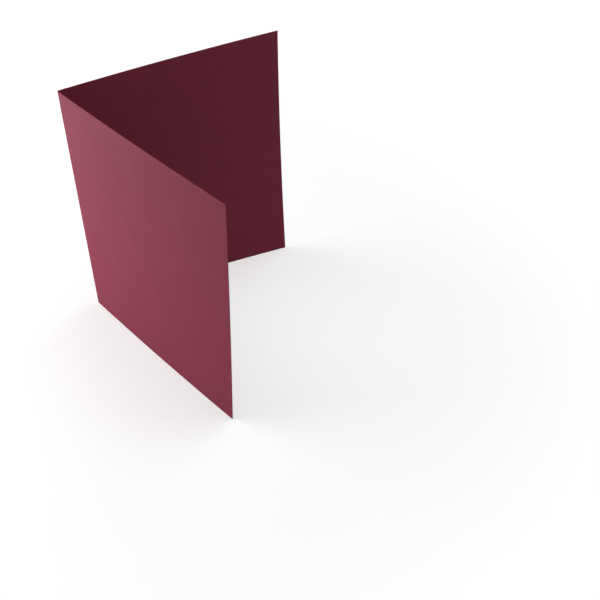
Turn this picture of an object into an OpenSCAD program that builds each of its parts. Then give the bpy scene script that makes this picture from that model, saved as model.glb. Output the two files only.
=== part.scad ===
// Folded greeting card
// One sheet of dyed card stock, scored across its middle and folded once, standing on its
// lower edges with the covers part open. The fold is vertical, on the left of the front cover.
// Standing open, the sheet has relaxed: its covers arch outwards and twist a little about the fold.
// Units are millimetres. +Z is up, +X points out of the opening between the covers and -Y is
// the side that the front cover faces. The origin is at the middle of the footprint, on the
// surface that the card stands on.

/* [Sheet] */
// Width of one cover of the flat sheet, from the middle of the fold to the free edge
cover_width = 107.95; // [60:0.05:160]
// Height of the card, along the fold
card_height = 139.7; // [80:0.1:220]
// Thickness of the card stock
stock_thickness = 0.3; // [0.2:0.01:0.5]

/* [Fold] */
// Angle between the two covers as the card stands, the same at any height
opening_angle = 69; // [30:1:120]
// Radius on the inside of the fold
fold_inside_radius = 0.3; // [0.2:0.05:1]
// Radius of the bead that the scoring rule pushes up along the inside of the fold
score_bead_radius = 0.18; // [0.1:0.01:0.3]

/* [Relaxed shape] */
// Turn of both covers about the fold, from the foot of the card to its top, anticlockwise from above
cover_twist = 2.7; // [0:0.1:8]
// Rise of the arch of each cover, midway between the fold and the free edge
cover_arch = 0.7; // [0:0.1:3]

/* [Appearance] */
// Colour of the card stock
stock_colour = "#93455A"; // [#93455A, #F4EFE4, #2F4A6B]

/* [Hidden] */

// Straight steps along the arch of a cover, round the bend and round the bead, and up the twist
cover_steps = 6;
bend_steps = 8;
bead_steps = 24;
twist_steps = 6;

// Half of the opening, on each side of the X axis
half_angle = opening_angle / 2;
fold_outside_radius = fold_inside_radius + stock_thickness;
// Angle through which the flat sheet is bent at the fold
bend_angle = 180 - opening_angle;
// The fold takes up its own length of the sheet, measured along the middle of the stock
fold_length = (fold_inside_radius + stock_thickness / 2) * bend_angle * PI / 180;
// The stretch of each cover beyond the fold, so that the sheet keeps its cut width at any opening
cover_length = cover_width - fold_length / 2;

// A free edge reaches furthest along X at the end where the twist has turned it most towards X
far_angle = half_angle - cover_twist / 2;
reach_front = cover_length * cos(far_angle) - fold_inside_radius * sin(far_angle);
reach_back = fold_outside_radius;
// Place of the fold's centre that puts the origin at the middle of the footprint
fold_x = (reach_back - reach_front) / 2;

function reversed(points) = [for (i = [len(points) - 1 : -1 : 0]) points[i]];

// Arched line along one cover, from the fold to the free edge, that leaves the fold at a radius:
// side is -1 for the front cover, 1 for the back
function cover_line(side, radius) = [
    for (step = [0 : cover_steps])
        let (
            share = step / cover_steps,
            along = share * cover_length,
            out = radius + 4 * cover_arch * share * (1 - share)
        )
        [
            along * cos(half_angle) - out * sin(half_angle),
            side * (along * sin(half_angle) + out * cos(half_angle)),
        ]
];

// Arc round the back of the fold's centre, from the front cover to the back one
function bend_line(radius) = [
    for (step = [1 : bend_steps - 1])
        let (direction = 180 + bend_angle * (0.5 - step / bend_steps))
        radius * [cos(direction), sin(direction)]
];

// One face of the whole sheet, from the front cover's free edge round the fold to the back's
function sheet_line(radius) = concat(
    reversed(cover_line(-1, radius)),
    bend_line(radius),
    cover_line(1, radius)
);

// Section through the folded sheet
module sheet_section() {
    polygon(concat(sheet_line(fold_outside_radius), reversed(sheet_line(fold_inside_radius))));
}

// Section through the raised bead, seated in the middle of the bend
module bead_section() {
    translate([-fold_inside_radius, 0])
        circle(r = score_bead_radius, $fn = bead_steps);
}

// The section is raised along the fold and turned about it, by half of the twist either way
module folded_card() {
    color(stock_colour)
        translate([fold_x, 0, 0])
            rotate(-cover_twist / 2)
                linear_extrude(height = card_height, twist = -cover_twist, slices = twist_steps) {
                    sheet_section();
                    bead_section();
                }
}

folded_card();
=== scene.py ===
"""Folded greeting card in burgundy card stock, standing part open on its lower edges.

The sheet starts as one line in plan: a bend about the fold with a straight cover on each side.
The line is raised to the card's height, given the stock's thickness and a scored bead, and then
relaxed into the slight twist and bow that paper takes when it stands open.
Lengths are metres, in the frame of the solid that the sheet replaces.
"""
from math import atan2, copysign, cos, pi, radians, sin, sqrt

import bmesh
import bpy
from mathutils import Euler, Matrix, Vector


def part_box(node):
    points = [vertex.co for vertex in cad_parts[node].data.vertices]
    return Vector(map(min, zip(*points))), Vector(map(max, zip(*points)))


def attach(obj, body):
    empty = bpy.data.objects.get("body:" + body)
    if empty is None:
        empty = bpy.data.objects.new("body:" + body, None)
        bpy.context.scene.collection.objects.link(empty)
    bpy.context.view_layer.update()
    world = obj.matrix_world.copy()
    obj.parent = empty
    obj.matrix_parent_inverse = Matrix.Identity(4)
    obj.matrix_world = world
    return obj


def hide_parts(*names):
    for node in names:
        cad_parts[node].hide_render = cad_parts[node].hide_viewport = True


MM = 0.001

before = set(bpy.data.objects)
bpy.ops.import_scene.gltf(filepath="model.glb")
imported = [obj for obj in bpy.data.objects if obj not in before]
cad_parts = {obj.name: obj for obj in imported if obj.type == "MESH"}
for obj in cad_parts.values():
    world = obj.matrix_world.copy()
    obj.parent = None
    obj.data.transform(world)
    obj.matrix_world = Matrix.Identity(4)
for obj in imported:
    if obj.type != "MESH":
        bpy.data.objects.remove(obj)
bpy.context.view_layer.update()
CARD_LOW, CARD_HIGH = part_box("folded_card")

# Stock and fold; the twist is that of the solid
STOCK_THICKNESS = 0.3 * MM
FOLD_INSIDE_RADIUS = 0.3 * MM
SCORE_BEAD_RADIUS = 0.18 * MM
OPENING_ANGLE = radians(69)
SOLID_TWIST = radians(2.7)
CUT_EDGE_ROUNDING = 0.025 * MM

# How the sheet has relaxed: turn of each cover about the fold at its foot and at its top, bulge of
# its free edge at mid height, and bulge of the whole cover midway between the fold and the free edge
FRONT_FOOT_TURN = radians(-1.38)
FRONT_TOP_TURN = radians(1.02)
BACK_FOOT_TURN = radians(-2.04)
BACK_TOP_TURN = radians(0.99)
FRONT_EDGE_BOW = -0.36 * MM
BACK_EDGE_BOW = 1.66 * MM
FRONT_ARCH = 0.6 * MM
BACK_ARCH = 0.94 * MM

# Fineness of the mesh
BEND_STEPS = 30
COVER_COLUMNS = 48
SHEET_ROWS = 64
ROUNDING_STEPS = 2
CUT_CORNER_ANGLE = radians(60)
SHARP_ANGLE = radians(20)

# Camera, by the point on the table that it looks at, measured from the foot of the fold
VIEW_TARGET = Vector((105.6, 20.1, 0)) * MM
VIEW_DISTANCE = 609.6 * MM
VIEW_AZIMUTH = radians(10.04)
VIEW_ELEVATION = radians(47.68)
IMAGE_PIXELS = 600
FOCAL_PIXELS = 1135

# Card stock: colours, and the sizes of its clouds, fibres and tooth
STOCK_LIGHT = (0.254, 0.0292, 0.0615, 1)
STOCK_DARK = (0.239, 0.027, 0.058, 1)
FIBRE_COLOUR = (0.34, 0.075, 0.115, 1)
CUT_LIGHT = (0.33, 0.075, 0.11, 1)
CUT_DARK = (0.25, 0.045, 0.07, 1)
CLOUD_SIZE = 12 * MM
FIBRE_WIDTH = 0.14 * MM
FIBRE_LENGTH = 1.6 * MM
FIBRE_SLANTS = (radians(17), radians(-26))
TOOTH_SIZE = 0.45 * MM
TOOTH_HEIGHT = 0.012 * MM
# Stretch of the noise through the stock, so that its two sides differ
SIDE_TO_SIDE = 30

# Noise: levels between which each effect sets in, how fine it is, and how far a fibre wanders
CLOUD_RANGE = (0.25, 0.75)
FIBRE_RANGE = (0.52, 0.72)
TOOTH_RANGE = (0.3, 0.7)
RUBBED_RANGE = (0.35, 0.7)
CLOUD_DETAIL = 4
CLOUD_ROUGHNESS = 0.6
FIBRE_DETAIL = 1
FIBRE_WANDER = 0.7
TOOTH_DETAIL = 2
RUBBED_DETAIL = 3
# Rise of a fibre, as a share of the tooth's
FIBRE_RISE = 0.35

# Finish of the faces and of the cut edges: how much of the fibres shows, roughness and gloss
FACE_FIBRES = 0.12
FACE_ROUGHNESS = (0.66, 0.78)
FACE_GLOSS = 0.22
CUT_FIBRES = 0.35
CUT_ROUGHNESS = (0.8, 0.92)
CUT_GLOSS = 0.15

# Wear along the fold and along the cut edges: its most, and its reach over the face
FOLD_WEAR = 0.3
FOLD_WEAR_REACH = 0.9 * MM
EDGE_WEAR = 0.35
EDGE_WEAR_REACH = 0.7 * MM

# Table, and the glow that it has for the view alone: painted light, lower near the card and white further
# out
TABLE_HALF_WIDTH = 4000 * MM
TABLE_COLOUR = (0.6, 0.6, 0.6, 1)
TABLE_GLOW = 0.5
GLOW_RISE_START = 120 * MM
GLOW_RISE_END = 500 * MM
WHITE = (1, 1, 1, 1)

# Light; a lamp's level, and the even light's, is the brightness of white paper that faces it
EVEN_LIGHT = 0.2
LAMP_AIM = Vector((0, 0, 70)) * MM
# Panel lamps: azimuth from +X towards +Y, elevation, distance, width, height and level
LAMPS = {
    "side_lamp": (radians(185), 0, 300 * MM, 300 * MM, 120 * MM, 0.92),
    "top_lamp": (radians(30), radians(70), 900 * MM, 500 * MM, 500 * MM, 0.41),
    "rear_lamp": (radians(180), radians(70), 900 * MM, 500 * MM, 500 * MM, 0.28),
}

# Sizes that follow from the frame
HALF_OPENING = OPENING_ANGLE / 2
BEND_ANGLE = pi - OPENING_ANGLE
FOLD_OUTSIDE_RADIUS = FOLD_INSIDE_RADIUS + STOCK_THICKNESS
FOLD_MIDDLE_RADIUS = FOLD_INSIDE_RADIUS + STOCK_THICKNESS / 2
FOLD_CENTRE = Vector((CARD_LOW.x + FOLD_OUTSIDE_RADIUS, 0, CARD_LOW.z))
CARD_HEIGHT = CARD_HIGH.z - CARD_LOW.z
# The solid's free edges reach furthest along X where its twist turns them most towards X
FAR_ANGLE = HALF_OPENING - SOLID_TWIST / 2
FLAT_LENGTH = (CARD_HIGH.x - FOLD_CENTRE.x + FOLD_INSIDE_RADIUS * sin(FAR_ANGLE)) / cos(FAR_ANGLE)
HALF_BEND_LENGTH = FOLD_MIDDLE_RADIUS * BEND_ANGLE / 2
COVER_WIDTH = FLAT_LENGTH + HALF_BEND_LENGTH


# The sheet's mesh

def cover_direction(side):
    """The way from the fold to the free edge, in plan; side is -1 for the front cover, 1 for the back."""
    return Vector((cos(HALF_OPENING), side * sin(HALF_OPENING), 0))


def cover_outward(side):
    """The way that a cover's outside faces."""
    return Vector((-sin(HALF_OPENING), side * cos(HALF_OPENING), 0))


def draw_outside_line(bm):
    """The outside of the sheet in plan, at the foot of the card: the bend, then a cover from each end."""
    start = bm.verts.new(FOLD_CENTRE + cover_outward(-1) * FOLD_OUTSIDE_RADIUS)
    bmesh.ops.spin(
        bm, geom=[start], cent=FOLD_CENTRE, axis=(0, 0, -1), angle=BEND_ANGLE, steps=BEND_STEPS
    )
    ends = [v for v in bm.verts if len(v.link_edges) == 1]
    covers = bmesh.ops.extrude_vert_indiv(bm, verts=ends)
    for tip in covers["verts"]:
        tip.co += cover_direction(copysign(1, tip.co.y)) * FLAT_LENGTH
    bmesh.ops.subdivide_edges(bm, edges=covers["edges"], cuts=COVER_COLUMNS - 1)


def raise_sheet(bm):
    """Raises the line to the card's height and cuts it into rows."""
    raised = bmesh.ops.extrude_edge_only(bm, edges=bm.edges[:])
    top = [g for g in raised["geom"] if isinstance(g, bmesh.types.BMVert)]
    bmesh.ops.translate(bm, verts=top, vec=(0, 0, CARD_HEIGHT))
    uprights = [e for e in bm.edges if abs(e.verts[0].co.z - e.verts[1].co.z) > CARD_HEIGHT / 2]
    bmesh.ops.subdivide_edges(bm, edges=uprights, cuts=SHEET_ROWS - 1, use_grid_fill=True)
    bmesh.ops.recalc_face_normals(bm, faces=bm.faces[:])


def sheet_place(point):
    """Where a point of the card lies in the flat sheet: across from the fold, up and out from mid stock."""
    plan = point - FOLD_CENTRE
    side = copysign(1, plan.y)
    up = plan.z
    plan.z = 0
    along = plan.dot(cover_direction(side))
    if along >= 0:
        return Vector((
            side * (HALF_BEND_LENGTH + along), up, plan.dot(cover_outward(side)) - FOLD_MIDDLE_RADIUS
        ))
    turned = atan2(abs(plan.y), -plan.x)
    return Vector((side * turned * FOLD_MIDDLE_RADIUS, up, plan.length - FOLD_MIDDLE_RADIUS))


def press_score(bm):
    """Pushes up the bead that the scoring rule leaves along the inside of the fold."""
    for vertex in bm.verts:
        spoke = vertex.co - FOLD_CENTRE
        spoke.z = 0
        aside = spoke.y
        is_inside = spoke.length < FOLD_MIDDLE_RADIUS
        if is_inside and abs(aside) < SCORE_BEAD_RADIUS:
            rise = -spoke.x - (FOLD_INSIDE_RADIUS - sqrt(SCORE_BEAD_RADIUS**2 - aside**2))
            vertex.co.x += max(rise, 0)


def relax(point):
    """Moves a point from the flat-sided fold to where the sheet has settled."""
    across, up, _ = sheet_place(point)
    side = copysign(1, across)
    # From -1 at the foot to 1 at the top, and from 0 at the bend to 1 at the free edge
    level = 2 * up / CARD_HEIGHT - 1
    reach = max(abs(across) - HALF_BEND_LENGTH, 0) / FLAT_LENGTH
    edge_bow, arch = (FRONT_EDGE_BOW, FRONT_ARCH) if side < 0 else (BACK_EDGE_BOW, BACK_ARCH)
    bulge = edge_bow * reach**2 * (1 - level**2) + arch * 4 * reach * (1 - reach)
    # Share of the way round the bend, 0 on the front cover and 1 on the back
    round_bend = max(-1, min(1, across / HALF_BEND_LENGTH)) / 2 + 0.5
    foot_turn = FRONT_FOOT_TURN + (BACK_FOOT_TURN - FRONT_FOOT_TURN) * round_bend
    top_turn = FRONT_TOP_TURN + (BACK_TOP_TURN - FRONT_TOP_TURN) * round_bend
    turn = foot_turn + (top_turn - foot_turn) * up / CARD_HEIGHT
    moved = point - FOLD_CENTRE + cover_outward(side) * bulge
    return FOLD_CENTRE + Matrix.Rotation(turn, 3, "Z") @ moved


def make_card(faces_material, cut_material):
    """The whole sheet as one closed mesh, with its place in the flat kept as an attribute."""
    bm = bmesh.new()
    draw_outside_line(bm)
    raise_sheet(bm)
    bmesh.ops.solidify(bm, geom=bm.faces[:], thickness=STOCK_THICKNESS)
    for face in bm.faces:
        from_mid_stock = abs(sheet_place(face.calc_center_median()).z)
        is_cut = from_mid_stock < STOCK_THICKNESS / 4
        face.material_index = int(is_cut)
        face.smooth = True
    cut_corners = [e for e in bm.edges if e.calc_face_angle() > CUT_CORNER_ANGLE]
    bmesh.ops.bevel(
        bm, geom=cut_corners, offset=CUT_EDGE_ROUNDING, segments=ROUNDING_STEPS, profile=0.5,
        affect="EDGES", material=-1,
    )
    press_score(bm)
    flat_sheet = bm.verts.layers.float_vector.new("flat_sheet")
    for vertex in bm.verts:
        vertex[flat_sheet] = sheet_place(vertex.co)
        vertex.co = relax(vertex.co)
    mesh = bpy.data.meshes.new("folded_sheet")
    bm.to_mesh(mesh)
    bm.free()
    mesh.set_sharp_from_angle(angle=SHARP_ANGLE)
    mesh.materials.append(faces_material)
    mesh.materials.append(cut_material)
    card = bpy.data.objects.new("folded_sheet", mesh)
    bpy.context.scene.collection.objects.link(card)
    return card


# Materials

def socket_of(sockets, name):
    """A node's socket by its name, or by its identifier where several share a name."""
    return next(s for s in sockets if name in (s.identifier, s.name))


def shader_node(tree, kind, inputs=(), **settings):
    """Adds a node, sets its options, and gives each named input a value or a link."""
    made = tree.nodes.new(kind)
    for name, value in settings.items():
        setattr(made, name, value)
    for name, value in dict(inputs).items():
        socket = socket_of(made.inputs, name)
        if isinstance(value, bpy.types.NodeSocket):
            tree.links.new(value, socket)
        else:
            socket.default_value = value
    return made


def maths(tree, operation, first, second=0.0, clamp=False):
    """The result of one sum on two values or links."""
    made = shader_node(tree, "ShaderNodeMath", {"Value": first, "Value_001": second}, operation=operation)
    made.use_clamp = clamp
    return made.outputs["Value"]


def blend(tree, factor, first, second):
    """The mix of two colours."""
    made = shader_node(
        tree, "ShaderNodeMix",
        {"Factor_Float": factor, "A_Color": first, "B_Color": second},
        data_type="RGBA",
    )
    return socket_of(made.outputs, "Result_Color")


def ramp(tree, value, low, high, low_result, high_result):
    """A value carried from one range to another, smoothly, and held at the ends."""
    made = shader_node(
        tree, "ShaderNodeMapRange",
        {"Value": value, "From Min": low, "From Max": high, "To Min": low_result, "To Max": high_result},
        interpolation_type="SMOOTHSTEP",
    )
    return made.outputs["Result"]


def new_material(name):
    """A material with an empty node tree."""
    material = bpy.data.materials.new(name)
    material.use_nodes = True
    material.node_tree.nodes.clear()
    return material


def flat_place(tree):
    """The place in the flat sheet: across from the fold, up, and out from mid stock."""
    return shader_node(tree, "ShaderNodeAttribute", attribute_name="flat_sheet").outputs["Vector"]


def fibre_layer(tree, place, slant):
    """Fine ridges along one lie of the fibres, 0 to 1."""
    laid = shader_node(
        tree, "ShaderNodeMapping",
        {"Vector": place, "Rotation": (0, 0, slant), "Scale": (FIBRE_WIDTH, FIBRE_LENGTH, FIBRE_WIDTH)},
        vector_type="TEXTURE",
    )
    ridges = shader_node(
        tree, "ShaderNodeTexNoise",
        {"Vector": laid.outputs["Vector"], "Scale": 1.0,
         "Detail": FIBRE_DETAIL, "Distortion": FIBRE_WANDER},
    )
    return ramp(tree, ridges.outputs["Fac"], *FIBRE_RANGE, 0.0, 1.0)


def make_stock_group():
    """The paper itself, for faces and cut edges alike: clouds of colour, light fibres and a fine tooth."""
    tree = bpy.data.node_groups.new("card_stock", "ShaderNodeTree")
    for name in ("Light Colour", "Dark Colour", "Fibre Colour"):
        tree.interface.new_socket(name, in_out="INPUT", socket_type="NodeSocketColor")
    for name in ("Fibre Amount", "Smoothest", "Roughest"):
        tree.interface.new_socket(name, in_out="INPUT", socket_type="NodeSocketFloat")
    tree.interface.new_socket("Colour", in_out="OUTPUT", socket_type="NodeSocketColor")
    for name in ("Roughness", "Height"):
        tree.interface.new_socket(name, in_out="OUTPUT", socket_type="NodeSocketFloat")
    given = shader_node(tree, "NodeGroupInput").outputs
    place = shader_node(
        tree, "ShaderNodeVectorMath", {"Vector": flat_place(tree), "Vector_001": (1, 1, SIDE_TO_SIDE)},
        operation="MULTIPLY",
    ).outputs["Vector"]
    clouds = shader_node(
        tree, "ShaderNodeTexNoise",
        {"Vector": place, "Scale": 1 / CLOUD_SIZE, "Detail": CLOUD_DETAIL, "Roughness": CLOUD_ROUGHNESS},
    ).outputs["Fac"]
    tooth = shader_node(
        tree, "ShaderNodeTexNoise", {"Vector": place, "Scale": 1 / TOOTH_SIZE, "Detail": TOOTH_DETAIL}
    ).outputs["Fac"]
    layers = [fibre_layer(tree, place, slant) for slant in FIBRE_SLANTS]
    fibres = maths(tree, "MAXIMUM", layers[0], layers[1])
    lightness = ramp(tree, clouds, *CLOUD_RANGE, 0.0, 1.0)
    clouded = blend(tree, lightness, given["Dark Colour"], given["Light Colour"])
    shown = maths(tree, "MULTIPLY", fibres, given["Fibre Amount"])
    colour = blend(tree, shown, clouded, given["Fibre Colour"])
    roughness = ramp(tree, tooth, *TOOTH_RANGE, given["Smoothest"], given["Roughest"])
    height = maths(tree, "ADD", tooth, maths(tree, "MULTIPLY", fibres, FIBRE_RISE))
    shader_node(tree, "NodeGroupOutput", {"Colour": colour, "Roughness": roughness, "Height": height})
    return tree


def stock_node(tree, stock, **inputs):
    """Places the paper's node group in a material."""
    values = {name.replace("_", " ").title(): value for name, value in inputs.items()}
    made = tree.nodes.new("ShaderNodeGroup")
    made.node_tree = stock
    for name, value in values.items():
        made.inputs[name].default_value = value
    return made.outputs


def wear_mask(tree):
    """Where the paper is rubbed: along the outside of the fold, and less along the cut edges."""
    place = shader_node(tree, "ShaderNodeSeparateXYZ", {"Vector": flat_place(tree)}).outputs
    across = maths(tree, "ABSOLUTE", place["X"])
    outside = maths(tree, "GREATER_THAN", place["Z"], 0.0)
    on_fold = maths(tree, "MULTIPLY", ramp(tree, across, 0.0, FOLD_WEAR_REACH, FOLD_WEAR, 0.0), outside)
    from_free = maths(tree, "SUBTRACT", COVER_WIDTH, across)
    from_top = maths(tree, "SUBTRACT", CARD_HEIGHT, place["Y"])
    from_cut = maths(tree, "MINIMUM", from_free, maths(tree, "MINIMUM", place["Y"], from_top))
    on_cut = ramp(tree, from_cut, 0.0, EDGE_WEAR_REACH, EDGE_WEAR, 0.0)
    rubbed = shader_node(
        tree, "ShaderNodeTexNoise",
        {"Vector": flat_place(tree), "Scale": 1 / FIBRE_LENGTH, "Detail": RUBBED_DETAIL},
    ).outputs["Fac"]
    patches = ramp(tree, rubbed, *RUBBED_RANGE, 0.0, 1.0)
    return maths(tree, "MULTIPLY", maths(tree, "MAXIMUM", on_fold, on_cut), patches)


def card_faces(stock):
    """The two faces of the stock: matte, with a faint sheen, and rubbed lighter at the fold and edges."""
    material = new_material("card_faces")
    tree = material.node_tree
    paper = stock_node(
        tree, stock, light_colour=STOCK_LIGHT, dark_colour=STOCK_DARK, fibre_colour=FIBRE_COLOUR,
        fibre_amount=FACE_FIBRES, smoothest=FACE_ROUGHNESS[0], roughest=FACE_ROUGHNESS[1],
    )
    colour = blend(tree, wear_mask(tree), paper["Colour"], FIBRE_COLOUR)
    tooth = shader_node(tree, "ShaderNodeBump", {"Height": paper["Height"], "Distance": TOOTH_HEIGHT})
    shader = shader_node(
        tree, "ShaderNodeBsdfPrincipled",
        {"Base Color": colour, "Roughness": paper["Roughness"],
         "Normal": tooth.outputs["Normal"], "Specular IOR Level": FACE_GLOSS},
    )
    shader_node(tree, "ShaderNodeOutputMaterial", {"Surface": shader.outputs["BSDF"]})
    return material


def cut_edges(stock):
    """The knife-cut edges: the same stock with its fibres open, lighter and rougher."""
    material = new_material("cut_edges")
    tree = material.node_tree
    paper = stock_node(
        tree, stock, light_colour=CUT_LIGHT, dark_colour=CUT_DARK, fibre_colour=FIBRE_COLOUR,
        fibre_amount=CUT_FIBRES, smoothest=CUT_ROUGHNESS[0], roughest=CUT_ROUGHNESS[1],
    )
    tooth = shader_node(tree, "ShaderNodeBump", {"Height": paper["Height"], "Distance": TOOTH_HEIGHT})
    shader = shader_node(
        tree, "ShaderNodeBsdfPrincipled",
        {"Base Color": paper["Colour"], "Roughness": paper["Roughness"],
         "Normal": tooth.outputs["Normal"], "Specular IOR Level": CUT_GLOSS},
    )
    shader_node(tree, "ShaderNodeOutputMaterial", {"Surface": shader.outputs["BSDF"]})
    return material


def seen_directly(tree):
    """1 for what the camera sees straight on, in a sheen or through glass, and 0 for light on the card."""
    rays = shader_node(tree, "ShaderNodeLightPath").outputs
    mirrored = maths(tree, "ADD", rays["Is Glossy Ray"], rays["Is Transmission Ray"])
    return maths(tree, "ADD", rays["Is Camera Ray"], mirrored, clamp=True)


def table_white():
    """A matte pale table, with a glow for the view alone that brings open table up to white.

    Away from the card the glow rises to white, so that the table shows no far edge. The glow is uneven
    painted light: it is lower near the card, which paints the table darker there, and it rises to white
    further out, where the lamps light the table less.
    """
    material = new_material("table_white")
    tree = material.node_tree
    matte = shader_node(tree, "ShaderNodeBsdfDiffuse", {"Color": TABLE_COLOUR})
    place = shader_node(tree, "ShaderNodeNewGeometry").outputs["Position"]
    away = shader_node(tree, "ShaderNodeVectorMath", {"Vector": place}, operation="LENGTH")
    # Painted light: the glow is lower near the card, so the table there is painted darker, and it rises to
    # white further out
    painted_glow_here = ramp(tree, away.outputs["Value"], GLOW_RISE_START, GLOW_RISE_END, TABLE_GLOW, 1.0)
    strength = maths(tree, "MULTIPLY", seen_directly(tree), painted_glow_here)
    glow = shader_node(tree, "ShaderNodeEmission", {"Color": WHITE, "Strength": strength})
    both = shader_node(
        tree, "ShaderNodeAddShader",
        {"Shader": matte.outputs["BSDF"], "Shader_001": glow.outputs["Emission"]},
    )
    shader_node(tree, "ShaderNodeOutputMaterial", {"Surface": both.outputs["Shader"]})
    return material


# Stage

def make_table():
    """A plain pale table, far wider than the view."""
    bm = bmesh.new()
    bmesh.ops.create_grid(bm, x_segments=1, y_segments=1, size=TABLE_HALF_WIDTH)
    bmesh.ops.translate(bm, verts=bm.verts[:], vec=(0, 0, CARD_LOW.z))
    mesh = bpy.data.meshes.new("table")
    bm.to_mesh(mesh)
    bm.free()
    mesh.materials.append(table_white())
    table = bpy.data.objects.new("table", mesh)
    bpy.context.scene.collection.objects.link(table)


def make_camera():
    """The photograph's view, from above and in front of the card."""
    data = bpy.data.cameras.new("camera")
    data.lens = FOCAL_PIXELS / IMAGE_PIXELS * data.sensor_width
    camera = bpy.data.objects.new("camera", data)
    camera.rotation_euler = Euler((pi / 2 - VIEW_ELEVATION, 0, VIEW_AZIMUTH))
    target = FOLD_CENTRE + VIEW_TARGET
    camera.location = target + camera.rotation_euler.to_matrix() @ Vector((0, 0, VIEW_DISTANCE))
    bpy.context.scene.collection.objects.link(camera)
    bpy.context.scene.camera = camera


def make_lamp(name, azimuth, elevation, distance, width, height, level):
    """A soft panel lamp that faces the middle of the card."""
    data = bpy.data.lights.new(name, "AREA")
    data.shape = "RECTANGLE"
    data.size = width
    data.size_y = height
    data.energy = level * (pi * distance) ** 2
    lamp = bpy.data.objects.new(name, data)
    lamp.rotation_euler = Euler((pi / 2 - elevation, 0, azimuth + pi / 2))
    lamp.location = LAMP_AIM + lamp.rotation_euler.to_matrix() @ Vector((0, 0, distance))
    lamp.visible_camera = False
    bpy.context.scene.collection.objects.link(lamp)


def make_surroundings():
    """A white room for the view, which gives only a little even light to the card."""
    world = bpy.data.worlds.new("studio")
    world.use_nodes = True
    tree = world.node_tree
    tree.nodes.clear()
    strength = ramp(tree, seen_directly(tree), 0.0, 1.0, EVEN_LIGHT, 1.0)
    sky = shader_node(tree, "ShaderNodeBackground", {"Color": WHITE, "Strength": strength})
    shader_node(tree, "ShaderNodeOutputWorld", {"Surface": sky.outputs["Background"]})
    bpy.context.scene.world = world


stock = make_stock_group()
card = make_card(card_faces(stock), cut_edges(stock))
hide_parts("folded_card")
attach(card, "root")
make_table()
make_camera()
for name, setting in LAMPS.items():
    make_lamp(name, *setting)
make_surroundings()
bpy.context.scene.view_settings.view_transform = "Standard"
